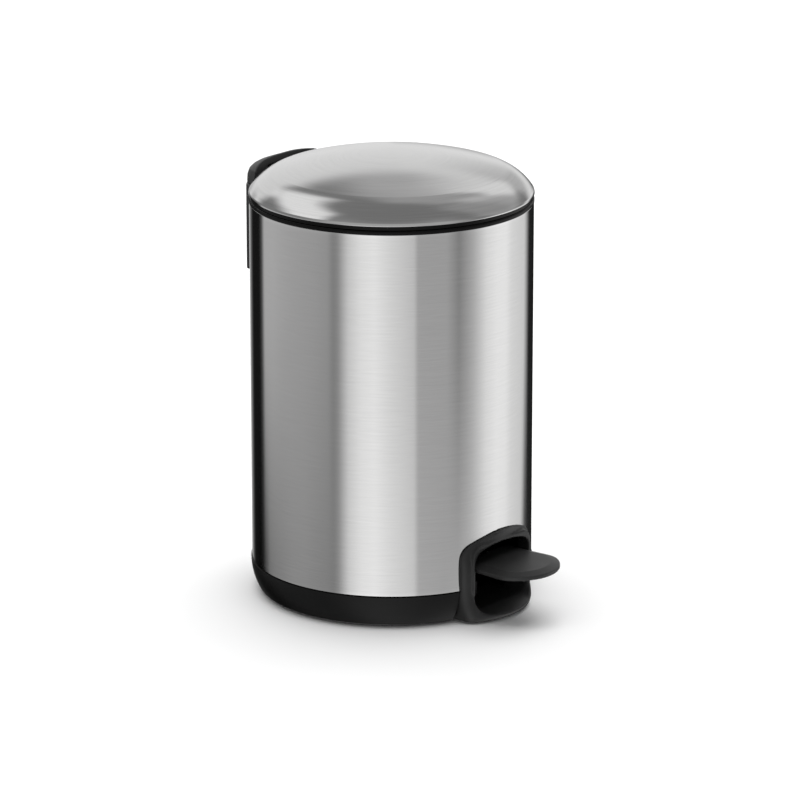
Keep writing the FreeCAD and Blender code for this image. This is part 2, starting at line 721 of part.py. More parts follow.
def make_hinge_pin():
    start = ("-pin_reach", "pin_y", "pin_z")
    pin = rod_piece("hinge_pin", SIDEWAYS, start, "pin_radius", "2 * pin_reach")
    pin.Label = "hinge_pin"
    SUB_PARTS.append(pin)


def bow_the_back(body, half, back):
    """Trim a cover's back to a flat middle whose sides bow forward to the can."""
    ends = f"({back}) - (cover_bow - sqrt(cover_bow ^ 2 - (({half}) - cover_flat) ^ 2))"
    plan = [
        (half, "50"), (half, ends, "cover_bow"), ("cover_flat", back),
        ("-cover_flat", back, "cover_bow"), (f"-({half})", ends), (f"-({half})", "50"),
    ]
    outside = rectangle("-60", "60", "45", "110")
    feature(body, "Pocket", draw(body, "XY_Plane", [outside, plan], offset="180"), "90")


def make_hinge_housing():
    """The fixed cover over the hinge bracket, open to the can and at the top."""
    body = new_body("hinge_housing")
    outside = [
        ("-(housing_half - housing_corner)", "housing_foot"),
        ("housing_half - housing_corner", "housing_foot", "housing_corner"),
        ("housing_half", "housing_foot + housing_corner"), ("housing_half", "housing_top"),
        ("-housing_half", "housing_top"),
        ("-housing_half", "housing_foot + housing_corner", "housing_corner"),
    ]
    feature(body, "Pad", draw(body, "XZ_Plane", [outside], offset="-60"), "housing_back - 60", reverse=True)
    bow_the_back(body, "housing_half", "housing_back")
    # hollow in two steps, so that the wall behind it keeps its thickness where the back bows
    low = "(housing_foot + housing_wall)"
    steps = (("housing_hollow", "housing_back - housing_wall"), ("housing_side_hollow", "housing_side_back"))
    for half, back in steps:
        inside = [
            (f"-({half} - 6)", low), (f"{half} - 6", low, "6"), (half, f"{low} + 6"),
            (half, "housing_top + 1"), (f"-{half}", "housing_top + 1"), (f"-{half}", f"{low} + 6", "6"),
        ]
        sketch = draw(body, "XZ_Plane", [inside], offset="-59")
        feature(body, "Pocket", sketch, f"{back} - 59", reverse=True)
    trough = draw(body, "YZ_Plane", circles=[("pin_y", "pin_z", "hood_back + 0.35")])
    feature(body, "Pocket", trough, "80", symmetric=True)
    bosses = draw(body, "XZ_Plane", circles=[(x, z, "3") for x, z in HOUSING_SPOTS], offset="-83.4")
    feature(body, "Pad", bosses, "8.6", reverse=True)
    feature(body, "Pocket", draw(body, "XY_Plane", circles=[("0", "0", "collar_radius + 0.05")]), "260")
    holes = [(x, z, "screw_radius + fit") for x, z in HOUSING_SPOTS]
    cut_holes(body, "XZ_Plane", holes, "20", "-70", reverse=True)


# ---------------------------------------------------------------- lid

HINGE_BORES = [
    ("pin_y", "pin_z", "pin_radius + fit"),
    ("cross_pin_y", "cross_pin_z", "cross_pin_radius + fit"),
]


def lid_profile(inset):
    """Corners of the lid's outline: rim round, shoulder and crown, all tangent, moved in by inset."""
    crown = f"(crown_round - {inset})"
    shoulder = f"(shoulder - {inset})"
    rim = f"(rim_round - {inset})"
    rim_sine = "sin(shoulder_angle * 1 deg)"
    rim_cosine = "cos(shoulder_angle * 1 deg)"
    rim_centre = "(lid_radius - rim_round)"
    shoulder_centre = f"({rim_centre} - (shoulder - rim_round) * {rim_sine})"
    shoulder_level = f"(lid_edge - (shoulder - rim_round) * {rim_cosine})"
    # The crown's centre is on the axis, which sets the angle at which the shoulder meets it.
    sine = f"({shoulder_centre} / (crown_round - shoulder))"
    cosine = f"sqrt(1 - {sine} ^ 2)"
    crown_level = f"({shoulder_level} - (crown_round - shoulder) * {cosine})"
    return {
        "edge": (f"(lid_radius - {inset})", "lid_edge", rim),
        "rim": (f"({rim_centre} + {rim} * {rim_sine})", f"(lid_edge + {rim} * {rim_cosine})", shoulder),
        "join": (f"({crown} * {sine})", f"({crown_level} + {crown} * {cosine})", crown),
        "top": ("0", f"({crown_level} + {crown})"),
    }


def make_lid_dome():
    outside = lid_profile("0")
    inside = lid_profile("lid_wall")
    corners = [
        outside["edge"], outside["rim"], outside["join"], outside["top"],
        (inside["top"][0], inside["top"][1], f"-{inside['join'][2]}"),
        (inside["join"][0], inside["join"][1], f"-{inside['rim'][2]}"),
        (inside["rim"][0], inside["rim"][1], f"-{inside['edge'][2]}"),
        (inside["edge"][0], inside["edge"][1]),
    ]
    turned("lid_dome", corners)


def make_lid_liner():
    body = turned("lid_liner", [
        ("0", "liner_face"), ("75", "liner_face"), ("77", "liner_foot"), ("liner_radius", "liner_foot"),
        ("liner_radius", "lid_edge - 0.05"), ("83", "lid_edge - 0.05"), ("83", "lid_edge + 2.2"),
        ("81.6", "lid_edge + 2.2"), ("81.6", "liner_face + 1.6"), ("0", "liner_face + 1.6"),
    ])
    # arms that turn on the hinge pin
    arm = [
        ("78", "liner_foot"), ("82.3", "liner_foot"), ("83.2", "242.7"), ("87.2", "242.7"),
        ("pin_y", "pin_z - knuckle", "knuckle"), ("pin_y + knuckle", "pin_z", "knuckle"),
        ("pin_y", "pin_z + knuckle", "knuckle"), ("pin_y - knuckle", "pin_z"), ("86.4", "lid_edge - 0.05"),
        ("78", "lid_edge - 0.05"),
    ]
    for left in ("arm_inside", "-arm_inside - arm_thick"):
        feature(body, "Pad", draw(body, "YZ_Plane", [arm], offset=left), "arm_thick")
    # tabs that the hood is screwed to
    for left in ("16", "-24"):
        tab = rectangle(left, f"{left} + 8", "78", "88.8")
        sketch = draw(body, "XY_Plane", [tab], offset="liner_foot + 0.05")
        feature(body, "Pad", sketch, "lid_edge - liner_foot - 0.1")
    # slot for the lever
    slot_height = "lid_edge - liner_foot + 0.5"
    cut_box(body, "XY_Plane", "-4.2", "4.2", "77.2", "pin_y", slot_height, "liner_foot - 0.5")
    cut_holes(body, "YZ_Plane", HINGE_BORES, "40", symmetric=True)
    cut_holes(body, "XY_Plane", [(x, y, "screw_radius + fit") for x, y in HOOD_SPOTS], "12", "240")
    sinks = [(x, y, "screw_head + fit") for x, y in HOOD_SPOTS]
    cut_holes(body, "XY_Plane", sinks, "head_height + 4.75", "240")


def make_lid_lever():
    """The lever that the push rod lifts: a hub on the pin, an arm and a round nose."""
    body = new_body("lid_lever")
    along_y = "cos(arm_angle * 1 deg)"
    along_z = "sin(arm_angle * 1 deg)"

    def place(ahead, above):
        """A point so far along the arm from the pin and so far above its centre line."""
        return (f"(pin_y - ({ahead}) * {along_y} - ({above}) * {along_z})",
                f"(pin_z - ({ahead}) * {along_z} + ({above}) * {along_y})")

    side = [
        place("0", "knuckle"), place("2.6", "1.8"), place("arm_length - 1", "1.8"),
        (*place("arm_length", "nose"), "nose"), (*place("arm_length + nose", "0"), "nose"),
        place("arm_length", "-nose"), place("arm_length - 2.1", "-1.2"), place("3", "-1.2"),
        (*place("0", "-knuckle"), "knuckle"), (*place("-knuckle", "0"), "knuckle"),
    ]
    feature(body, "Pad", draw(body, "YZ_Plane", [side]), "7", symmetric=True)
    cut_holes(body, "YZ_Plane", HINGE_BORES, "20", symmetric=True)


def make_lever_cross_pin():
    start = ("-cross_pin_half", "cross_pin_y", "cross_pin_z")
    pin = rod_piece("lever_cross_pin", SIDEWAYS, start, "cross_pin_radius", "2 * cross_pin_half")
    pin.Label = "lever_cross_pin"
    SUB_PARTS.append(pin)


# The hood's sections: degrees its side has turned over by, and half-width of its flat back there.
HOOD_LEVELS = [(0, 15.5), (20, 15.5), (38, 15.5), (52, 13.5), (65, 10.5), (77, 7.5), (88, 4.5)]


def hood_section(body, angle, flat):
    """The hood's outline where its side has turned over by an angle, on a sketch at that height."""
    height = f"(hood_foot + (hood_top - hood_foot) * sin({angle} deg))"
    half = f"(hood_half - (hood_top - hood_foot) * (1 - cos({angle} deg)))"
    back = "(pin_y + hood_back)"
    if number(height) > number("pin_z"):
        back = f"({back} - (hood_top - pin_z) + sqrt((hood_top - pin_z) ^ 2 - ({height} - pin_z) ^ 2))"
    bend = f"({half} - {flat})"
    plan = [
        (half, "70"), (half, f"{back} - {bend}", bend), (str(flat), back),
        (str(-flat), back, bend), (f"-{half}", f"{back} - {bend}"), (f"-{half}", "70"),
    ]
    return draw(body, "XY_Plane", [plan], offset=height)


def make_lid_hood():
    """The moulded hood behind the lid; its lower back edge is round about the pin so that it can turn."""
    body = new_body("lid_hood")
    sections = [hood_section(body, angle, flat) for angle, flat in HOOD_LEVELS]
    loft = body.newObject("PartDesign::AdditiveLoft", "hood_loft")
    loft.Profile = sections[0]
    loft.Sections = sections[1:]
    loft.Ruled = True
    doc.recompute()
    low_reach = "sqrt(hood_back ^ 2 - (pin_z - hood_foot) ^ 2)"
    side = [
        ("60", "hood_foot - 5"), (f"pin_y + {low_reach}", "hood_foot - 5"),
        (f"pin_y + {low_reach}", "hood_foot", "hood_back"),
        ("pin_y + hood_back * cos(30 deg)", "pin_z + hood_back * sin(30 deg)"),
        ("pin_y + 1.9", "pin_z + 5.9", "7.5"), ("pin_y - 4.4", "pin_z + 9.8"), ("60", "pin_z + 9.8"),
    ]
    outside = rectangle("50", "110", "hood_foot - 10", "hood_top + 10")
    feature(body, "Pocket", draw(body, "YZ_Plane", [outside, side]), "90", symmetric=True)
    feature(body, "Pocket", draw(body, "XY_Plane", circles=[("0", "0", "hood_front")]), "280")
    # hollow round the pin, the ears and the lid's arms
    hollow = [
        ("80", "hood_foot - 1"), ("pin_y + 3.55", "hood_foot - 1"), ("pin_y + 3.55", "pin_z + 1"),
        ("pin_y + 1.6", "pin_z + 4"), ("80", "pin_z + 4.4"),
    ]
    feature(body, "Pocket", draw(body, "YZ_Plane", [hollow]), "31", symmetric=True)
    cut_box(body, "XZ_Plane", "-9", "9", "hood_foot - 1", "pin_z + 2.3", "20", "-85", reverse=True)
    # rests for the liner's tabs and pilot holes for the screws
    for left in ("15.9", "-24.1"):
        rest = "lid_edge - hood_foot + 1"
        cut_box(body, "XY_Plane", left, f"{left} + 8.2", "80", "89", rest, "hood_foot - 1")
    cut_holes(body, "XY_Plane", [(x, y, "screw_radius + fit") for x, y in HOOD_SPOTS], "252", "0")


# ---------------------------------------------------------------- inner bucket

def make_inner_bucket():
    inner_low = "bucket_low - bucket_wall"
    inner_high = "bucket_high - bucket_wall"
    body = turned("inner_bucket", [
        ("0", "bucket_foot"), ("bucket_low - 5", "bucket_foot", "5"), ("bucket_low", "bucket_foot + 5"),
        ("bucket_high", "ledge_top + 0.05"), ("bucket_rim", "ledge_top + 0.05"),
        ("bucket_rim", "bucket_top - 0.8", "0.8"), ("bucket_rim - 0.8", "bucket_top"),
        (inner_high, "bucket_top"),
        (inner_low, "bucket_foot + 5"), (f"{inner_low} - 3.6", "bucket_foot + 1.5"),
        ("0", "bucket_foot + 1.5"),
    ])
    cut_holes(body, "YZ_Plane", [("0", "bail_z", "bail_wire + 0.1")], "160", symmetric=True)


def make_bucket_bail():
    """A wire handle folded down inside the bucket's mouth, its ends turned out through the wall."""
    body = new_body("bucket_bail")
    profile = draw(body, "YZ_Plane", circles=[("0", "bail_z", "bail_wire")], offset="-bail_end")
    path = body.newObject("Sketcher::SketchObject", "bail_path")
    path.AttachmentSupport = [(origin_plane(body, "XY_Plane"), "")]
    path.MapMode = "FlatFace"
    path.setExpression("AttachmentOffset.Base.z", bound("bail_z"))
    radius = number("bail_radius")
    end = number("bail_end")
    bend = 2.5
    first, second = Vector(-radius - bend, 0, 0), Vector(-radius, -bend, 0)
    third, fourth = Vector(radius, -bend, 0), Vector(radius + bend, 0, 0)
    loop = Part.Circle(Vector(0, -bend, 0), Vector(0, 0, 1), radius)
    path.addGeometry(Part.LineSegment(Vector(-end, 0, 0), first))
    path.addGeometry(arc_between(first, second, -bend))
    path.addGeometry(Part.ArcOfCircle(loop, math.pi, 2 * math.pi))
    path.addGeometry(arc_between(third, fourth, -bend))
    path.addGeometry(Part.LineSegment(fourth, Vector(end, 0, 0)))
    pipe = body.newObject("PartDesign::AdditivePipe", "bail_pipe")
    pipe.Profile = profile
    pipe.Spine = path
    doc.recompute()


def make_screws():
    fasteners("base_screws", UP, [(x, y, "tray_floor") for x, y in BASE_SPOTS], "6.5")
    fasteners("tread_rivets", UP, [("0", y, "strap_high - head_height") for y in RIVET_SPOTS], "5.6")
    fasteners("bracket_screws", BACKWARD, [(x, "82", z) for x, z in HIGH_BRACKET_SPOTS], "6")
    fasteners("guide_screws", BACKWARD, [(x, "75.1", z) for x, z in LOW_BRACKET_SPOTS], "12.5")
    fasteners("housing_screws", BACKWARD, [(x, "80", z) for x, z in HOUSING_SPOTS], "9")
    hood_spots = [(x, y, "liner_foot + 0.1") for x, y in HOOD_SPOTS]
    fasteners("hood_screws", UP, hood_spots, "6.5")


make_body_shell()
make_base_tray()
make_anti_slip_ring()
make_top_collar()
make_lid_buffers()
make_pedal_surround()
make_pedal_lever()
make_lever_bush()
make_pivot_pin()
make_pivot_blocks()
make_pedal_tread()
make_pedal_stop()
make_push_rod()
make_rod_guides()
make_hinge_bracket()
make_hinge_pin()
make_hinge_housing()
make_lid_dome()
make_lid_liner()
make_lid_lever()
make_lever_cross_pin()
make_lid_hood()
make_inner_bucket()
make_bucket_bail()
make_screws()


def write_parts():
    """Check the whole document, then write one file for each sub-part."""
    doc.recompute()
    for item in doc.Objects:
        if "Invalid" in item.State or "Error" in item.State:
            raise RuntimeError(f"{item.Name} failed: {item.State}")
    for item in SUB_PARTS:
        if item.Shape.isNull() or not item.Shape.isValid():
            raise RuntimeError(f"{item.Label} has no valid shape")
        item.Shape.exportStep(f"parts/{item.Label}.step")


write_parts()
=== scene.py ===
# %% [markdown]
# A pedal bin, dressed around its engineering model.
#
# The metal and plastic parts of this small bin already exist as exact solids. This lesson loads
# them, rounds the moulded parts the way a mould does, puts real screw heads where the solids have
# plain ones, and spends most of its effort on finishes: brushed steel, moulded plastic, rubber
# and zinc. Everything is in metres, +Z is up, the pedal points to -Y and the hinge is at +Y.

# %% Load the frame
import math

import bmesh
import bpy
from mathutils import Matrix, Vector


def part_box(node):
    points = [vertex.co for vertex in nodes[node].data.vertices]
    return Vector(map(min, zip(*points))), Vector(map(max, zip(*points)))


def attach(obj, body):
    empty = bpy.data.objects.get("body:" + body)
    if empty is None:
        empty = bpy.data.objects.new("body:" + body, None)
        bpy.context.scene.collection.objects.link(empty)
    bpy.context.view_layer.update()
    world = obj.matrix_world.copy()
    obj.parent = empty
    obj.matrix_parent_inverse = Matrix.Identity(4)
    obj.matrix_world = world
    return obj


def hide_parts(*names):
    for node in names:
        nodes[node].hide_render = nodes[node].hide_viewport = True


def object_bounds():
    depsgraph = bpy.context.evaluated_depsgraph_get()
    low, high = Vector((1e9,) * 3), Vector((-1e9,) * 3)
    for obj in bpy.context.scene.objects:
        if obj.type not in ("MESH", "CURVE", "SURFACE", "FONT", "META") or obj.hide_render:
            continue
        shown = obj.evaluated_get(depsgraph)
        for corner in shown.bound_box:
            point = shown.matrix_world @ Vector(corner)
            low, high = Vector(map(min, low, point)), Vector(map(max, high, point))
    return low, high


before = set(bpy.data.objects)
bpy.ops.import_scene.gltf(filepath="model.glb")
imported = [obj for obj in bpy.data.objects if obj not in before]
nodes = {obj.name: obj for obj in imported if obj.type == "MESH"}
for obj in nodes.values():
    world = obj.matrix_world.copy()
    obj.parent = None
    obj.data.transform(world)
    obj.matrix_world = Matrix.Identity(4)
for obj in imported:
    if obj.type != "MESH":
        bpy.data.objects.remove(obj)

MM = 0.001
cad_box = [[float(v) for v in corner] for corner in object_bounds()]
print("size in mm:", [round((hi - lo) / MM, 1) for lo, hi in zip(*cad_box)])

# %% [markdown]
# Shader trees are sums and products of a few patterns. Writing them as Python expressions keeps
# them readable: a Value wraps one socket, and adding or multiplying two Values adds a Math node.
# Every other node comes from one method, Finish.add, which sets the node's settings first and
# then its sockets, by a number, a colour or another Value.

# %% Values that add nodes
class Value:
    """One output socket of a finish; arithmetic on it adds Math nodes."""

    def __init__(self, finish, socket):
        self.finish = finish
        self.socket = socket

    def math(self, operation, other=None, swapped=False):
        pair = [self] if other is None else [self, other]
        if swapped:
            pair.reverse()
        return self.finish.add("ShaderNodeMath", {"operation": operation}, dict(enumerate(pair)))

    def __add__(self, other):
        return self.math("ADD", other)

    def __sub__(self, other):
        return self.math("SUBTRACT", other)

    def __rsub__(self, other):
        return self.math("SUBTRACT", other, swapped=True)

    def __mul__(self, other):
        return self.math("MULTIPLY", other)

    def __truediv__(self, other):
        return self.math("DIVIDE", other)

    __radd__ = __add__
    __rmul__ = __mul__

    def rise(self, low, high):
        """0 below low, 1 above high, and an S-curve between them."""
        limits = {0: self, 1: low, 2: high, 3: 0.0, 4: 1.0}
        return self.finish.add("ShaderNodeMapRange", {"interpolation_type": "SMOOTHSTEP"}, limits)


print("values take + - * / and rise()")

# %% [markdown]
# A finish is the material itself. It makes its nodes through one method, and it has short names
# for the patterns that the finishes below share.

# %% A finish is a material with its own node tree
class Finish:
    """A material whose nodes all come from add()."""

    def __init__(self, name, tree=None):
        if tree is None:
            self.material = bpy.data.materials.new(name)
            self.material.use_nodes = True
            tree = self.material.node_tree
        self.tree = tree
        self.tree.nodes.clear()

    def add(self, kind, settings=None, values=None, out=0):
        node = self.tree.nodes.new(kind)
        for key, setting in (settings or {}).items():
            if key == "stops":
                self.set_stops(node.color_ramp, setting)
            else:
                setattr(node, key, setting)
        for key, value in (values or {}).items():
            if isinstance(value, Value):
                self.tree.links.new(value.socket, node.inputs[key])
            else:
                node.inputs[key].default_value = value
        return Value(self, node.outputs[out]) if len(node.outputs) else node

    @staticmethod
    def set_stops(ramp, stops):
        while len(ramp.elements) < len(stops):
            ramp.elements.new(0.5)
        for element, (place, shade) in zip(ramp.elements, sorted(stops)):
            element.position = place
            element.color = (shade, shade, shade, 1.0)

    def place(self):
        """The point on the object, in millimetres."""
        spot = self.add("ShaderNodeTexCoord", out="Object")
        return self.add("ShaderNodeVectorMath", {"operation": "SCALE"}, {0: spot, "Scale": 1 / MM})

    def split(self, vector):
        node = self.add("ShaderNodeSeparateXYZ", values={0: vector}).socket.node
        return [Value(self, out) for out in node.outputs]

    def join(self, x, y, z):
        return self.add("ShaderNodeCombineXYZ", values={0: x, 1: y, 2: z})

    def noise(self, vector, scale, detail=3.0, roughness=0.55):
        values = {"Vector": vector, "Scale": scale, "Detail": detail, "Roughness": roughness}
        return self.add("ShaderNodeTexNoise", {"noise_dimensions": "3D"}, values, out=0)

    def mix(self, factor, first, second):
        """A colour between two colours."""
        settings = {"data_type": "RGBA"}
        return self.add("ShaderNodeMix", settings, {0: factor, 6: first, 7: second}, out=2)

    def bump(self, height, strength, depth_mm):
        values = {"Strength": strength, "Distance": depth_mm * MM, "Height": height}
        return self.add("ShaderNodeBump", values=values)

    def surface(self, **sockets):
        """The Principled shader, straight to the output."""
        values = {name.replace("_", " "): value for name, value in sockets.items()}
        shader = self.add("ShaderNodeBsdfPrincipled", values=values)
        self.add("ShaderNodeOutputMaterial", values={"Surface": shader})
        return self.material


def grey(level, warmth=0.0):
    return (level * (1 + warmth), level, level * (1 - warmth), 1.0)


print("shader helpers ready")

# %% [markdown]
# The can is stainless sheet that is brushed along its length before it is rolled, so its scratches
# run round the can. A noise that is stretched along the scratches, about ninety times for the fine
# ones, gives them: it changes quickly up the wall and slowly round it. Scratches scatter light
# across themselves, so the shader's highlight is stretched up and down, and the stripes of the
# room stay crisp from side to side. Handling leaves faint cloudy patches, and the edges are
# burnished a little.

# %% Brushed steel round the can
def brushed_wall(name, foot, top):
    steel = Finish(name)
    x, y, z = steel.split(steel.place())
    fine = steel.noise(steel.join(x * 0.05, y * 0.05, z * 4.5), 1.0, 3.0, 0.6)
    coarse = steel.noise(steel.join(x * 0.06, y * 0.06, z * 1.1), 1.0, 3.0, 0.6)
    cloud = steel.noise(steel.join(x, y, z), 0.022, 3.0)
    rubbed = (z.rise(top - 3.0, top) + 1 - z.rise(foot, foot + 3.0)).math("MINIMUM", 1.0)
    hairlines = fine * 0.8 + coarse * 0.2
    colour = steel.mix(hairlines.rise(0.3, 0.7), grey(0.575, 0.003), grey(0.622, 0.004))
    colour = steel.mix(rubbed * 0.35, colour, grey(0.74))
    rough = 0.115 + (hairlines - 0.5) * 0.07 + (cloud - 0.5) * 0.04 - rubbed * 0.03
    return steel.surface(
        Base_Color=colour, Metallic=1.0, Roughness=rough, Anisotropic=0.7,
        Anisotropic_Rotation=0.25, Normal=steel.bump(hairlines, 0.04, 0.012),
    )


shell_low, shell_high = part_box("body_shell")
can_steel = brushed_wall("can_steel_brushed", shell_low.z / MM, shell_high.z / MM)
print("wall brushed from", round(shell_low.z / MM, 1), "to", round(shell_high.z / MM, 1), "mm")


# %% [markdown]
# The lid is pressed from a disc and then spun against an abrasive, so its scratches are rings. The
# same stretched noise works if its quick direction is the distance from the axis.

# %% Spun steel on the lid
def spun_dome(name, edge):
    steel = Finish(name)
    x, y, z = steel.split(steel.place())
    reach = (x * x + y * y).math("SQRT")
    fine = steel.noise(steel.join(x * 0.02, y * 0.02, reach * 2.4), 1.0, 4.0, 0.7)
    coarse = steel.noise(steel.join(x * 0.03, y * 0.03, reach * 0.5), 1.0, 3.0, 0.6)
    cloud = steel.noise(steel.join(x, y, z), 0.03, 3.0)
    hairlines = fine * 0.8 + coarse * 0.2
    # Near the lid's edge the steel is smoother from polish, and its colour is lighter: partly
    # polish, partly a painted highlight along the rim.
    polish_and_highlight = 1 - z.rise(edge + 1.0, edge + 3.5)
    colour = steel.mix(hairlines.rise(0.3, 0.7), grey(0.575, 0.003), grey(0.635, 0.004))
    colour = steel.mix(polish_and_highlight * 0.4, colour, grey(0.78))
    rough = 0.15 + (hairlines - 0.5) * 0.08 + (cloud - 0.5) * 0.04 - polish_and_highlight * 0.05
    return steel.surface(
        Base_Color=colour, Metallic=1.0, Roughness=rough, Anisotropic=0.3,
        Anisotropic_Rotation=0.25, Normal=steel.bump(hairlines, 0.05, 0.015),
    )


lid_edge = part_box("lid_dome")[0].z
lid_steel = spun_dome("lid_steel_spun", lid_edge / MM)
print("lid spun from its edge at", round(lid_edge / MM, 1), "mm")


# %% [markdown]
# The black parts are injection moulded in polypropylene. Their moulds are spark eroded, which
# leaves a fine matt grain about 0.4 mm across. Shoes and hands polish it: a shoe leaves short
# grey scuffs on the pedal, and every raised edge gets a little smoother and is painted paler,
# partly as wear and partly as a painted highlight along the edge.

# %% Moulded plastic
def moulded(name, shade, roughness, grain_mm=0.4, grain_depth=0.05, scuffs=0.0, edge_wear_and_highlight=0.0,
            gloss=0.4):
    plastic = Finish(name)
    spot = plastic.place()
    x, y, z = plastic.split(spot)
    grain = plastic.noise(spot, 1 / grain_mm, 2.0, 0.5)
    cloud = plastic.noise(spot, 0.035, 3.0)
    flow = plastic.noise(plastic.join(x * 0.05, y * 0.9, z * 0.3), 1.0, 4.0, 0.6)
    colour = plastic.mix(cloud.rise(0.3, 0.7), grey(shade * 0.82), grey(shade * 1.2, -0.01))
    rough = roughness + (cloud - 0.5) * 0.14 + (grain - 0.5) * 0.12
    if scuffs:
        marks = flow.rise(0.62, 0.72) * plastic.noise(spot, 0.12, 2.0).rise(0.48, 0.62) * scuffs
        colour = plastic.mix(marks, colour, grey(shade * 5))
        rough = rough + marks * 0.15
    if edge_wear_and_highlight:
        # Raised edges are painted paler: partly wear, partly a painted highlight where an edge
        # catches the light.
        bend = plastic.add("ShaderNodeNewGeometry", out="Pointiness")
        edge = bend.rise(0.515, 0.56) * (0.45 + 0.55 * flow) * edge_wear_and_highlight
        colour = plastic.mix(edge, colour, grey(shade * 3.2))
        rough = rough - edge * 0.12
    return plastic.surface(
        Base_Color=colour, Roughness=rough, Specular_IOR_Level=gloss,
        Normal=plastic.bump(grain, 0.35, grain_depth),
    )


plastics = {
    "base_plastic": moulded("base_plastic_matt", 0.004, 0.40, scuffs=0.3, gloss=0.2),
    "frame_plastic": moulded("frame_plastic_matt", 0.013, 0.44, scuffs=0.25, edge_wear_and_highlight=0.35),
    "tread_plastic": moulded("tread_plastic_grained", 0.016, 0.46, 0.5, 0.07, 0.45, 0.55),
    "hinge_plastic": moulded("hinge_plastic_matt", 0.024, 0.50, edge_wear_and_highlight=0.3, gloss=0.5),
    "lid_plastic": moulded("lid_plastic_satin", 0.003, 0.34, 0.3, 0.02, gloss=0.12),
    "bucket_plastic": moulded("bucket_plastic_satin", 0.030, 0.36, 0.35, 0.03, scuffs=0.35),
    "inner_plastic": moulded("inner_plastic_natural", 0.030, 0.45),
}
print("plastics:", sorted(plastics))


# %% [markdown]
# Rubber is duller than the plastic and picks up dust. Zinc plating is a thin bright coat with a
# faint crystal pattern, which a cell pattern gives. The bucket's bail is drawn wire, so its
# scratches run along it and it shines.

# %% Rubber, zinc and wire
def rubber(name):
    soft = Finish(name)
    spot = soft.place()
    grain = soft.noise(spot, 3.0, 3.0, 0.6)
    dust = soft.noise(spot, 0.15, 4.0, 0.65).rise(0.5, 0.75)
    colour = soft.mix(dust * 0.5, grey(0.016), grey(0.05, 0.03))
    return soft.surface(Base_Color=colour, Roughness=0.72 + dust * 0.15,
                        Normal=soft.bump(grain, 0.4, 0.06))


def zinc(name):
    plate = Finish(name)
    spot = plate.place()
    cells = plate.add("ShaderNodeTexVoronoi", {"feature": "F1"},
                      {"Vector": spot, "Scale": 0.55, "Randomness": 1.0}, out="Distance")
    haze = plate.noise(spot, 0.3, 4.0, 0.6)
    colour = plate.mix(cells.rise(0.1, 0.7), grey(0.42, 0.01), grey(0.58, -0.015))
    rough = 0.30 + (haze - 0.5) * 0.25 + cells * 0.06
    return plate.surface(Base_Color=colour, Metallic=1.0, Roughness=rough,
                         Normal=plate.bump(haze, 0.15, 0.02))


def drawn_wire(name):
    wire = Finish(name)
    x, y, z = wire.split(wire.place())
    lines = wire.noise(wire.join(x * 0.1, y * 0.1, z * 5.0), 1.0, 3.0, 0.6)
    colour = wire.mix(lines, grey(0.55), grey(0.72, 0.01))
    return wire.surface(Base_Color=colour, Metallic=1.0, Roughness=0.16 + lines * 0.12,
                        Normal=wire.bump(lines, 0.1, 0.01))


# %% [markdown]
# Each solid already has a material slot that says what it is made of. The finish goes into that
# slot, so the mesh stays as it is and parts of one material look alike.

# %% Put the finishes in their slots
finishes = {
    "can_steel": can_steel,
    "lid_steel": lid_steel,
    **plastics,
    "rubber": rubber("rubber_dusty"),
    "zinc_steel": zinc("zinc_plated"),
    "wire_steel": drawn_wire("wire_drawn"),
}
for node in nodes.values():
    for index, material in enumerate(node.data.materials):
        node.data.materials[index] = finishes[material.name.split(".")[0]]
print("finishes on", len(nodes), "parts:", sorted(finishes))

# %% [markdown]
# A solid modeller leaves knife edges where a mould has small radii, and a highlight along a
# rounded edge is what makes a black part readable. The moulded parts that show are copied, turned
# into an even skin of small squares, and relaxed: flat areas stay where they are, and each edge
# settles into a radius of about a millimetre. Rounding edge by edge with a bevel would also do,
# but these parts have lofted faces that meet at changing angles, which a bevel handles badly.

# %% Round the moulded parts
def moulded_skin(label, node_name, body, slot, square_mm, relaxing):
    """A copy of a solid as a relaxed, evenly divided skin, in its place."""
    source = nodes[node_name]
    mesh = source.data.copy()
    mesh.name = label
    work = bmesh.new()
    work.from_mesh(mesh)
    bmesh.ops.remove_doubles(work, verts=work.verts, dist=0.002 * MM)
    bmesh.ops.recalc_face_normals(work, faces=work.faces)
    work.to_mesh(mesh)
    work.free()
    piece = bpy.data.objects.new(label, mesh)
    bpy.context.scene.collection.objects.link(piece)
    remesh = piece.modifiers.new("even_skin", "REMESH")
    remesh.mode = "VOXEL"
    remesh.voxel_size = square_mm * MM
    remesh.use_smooth_shade = True
    relax = piece.modifiers.new("relax", "SMOOTH")
    relax.factor = 0.5
    relax.iterations = relaxing
    return settle(piece, body, slot, node_name)


def settle(piece, body, slot, *replaced):
    """Applies what is live on a piece and hands it to its body."""
    bpy.context.view_layer.update()
    graph = bpy.context.evaluated_depsgraph_get()
    mesh = bpy.data.meshes.new_from_object(piece.evaluated_get(graph), depsgraph=graph)
    piece.modifiers.clear()
    piece.data = mesh
    mesh.name = piece.name
    mesh.shade_smooth()
    mesh.materials.clear()
    mesh.materials.append(finishes[slot])
    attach(piece, body)
    if replaced:
        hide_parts(*replaced)
    low = Vector([min(v.co[i] for v in mesh.vertices) for i in range(3)]) / MM
    high = Vector([max(v.co[i] for v in mesh.vertices) for i in range(3)]) / MM
    print(piece.name, "triangles:", sum(len(p.vertices) - 2 for p in mesh.polygons),
          "from", [round(v, 1) for v in low], "to", [round(v, 1) for v in high])
    return piece


moulded_skin("surround_moulding", "pedal_surround", "can", "frame_plastic", 0.55, 14)
moulded_skin("tread_moulding", "pedal_tread", "pedal", "tread_plastic", 0.42, 3)
moulded_skin("hood_moulding", "lid_hood", "lid", "hinge_plastic", 0.4, 9)
moulded_skin("housing_moulding", "hinge_housing", "can", "hinge_plastic", 0.5, 9)

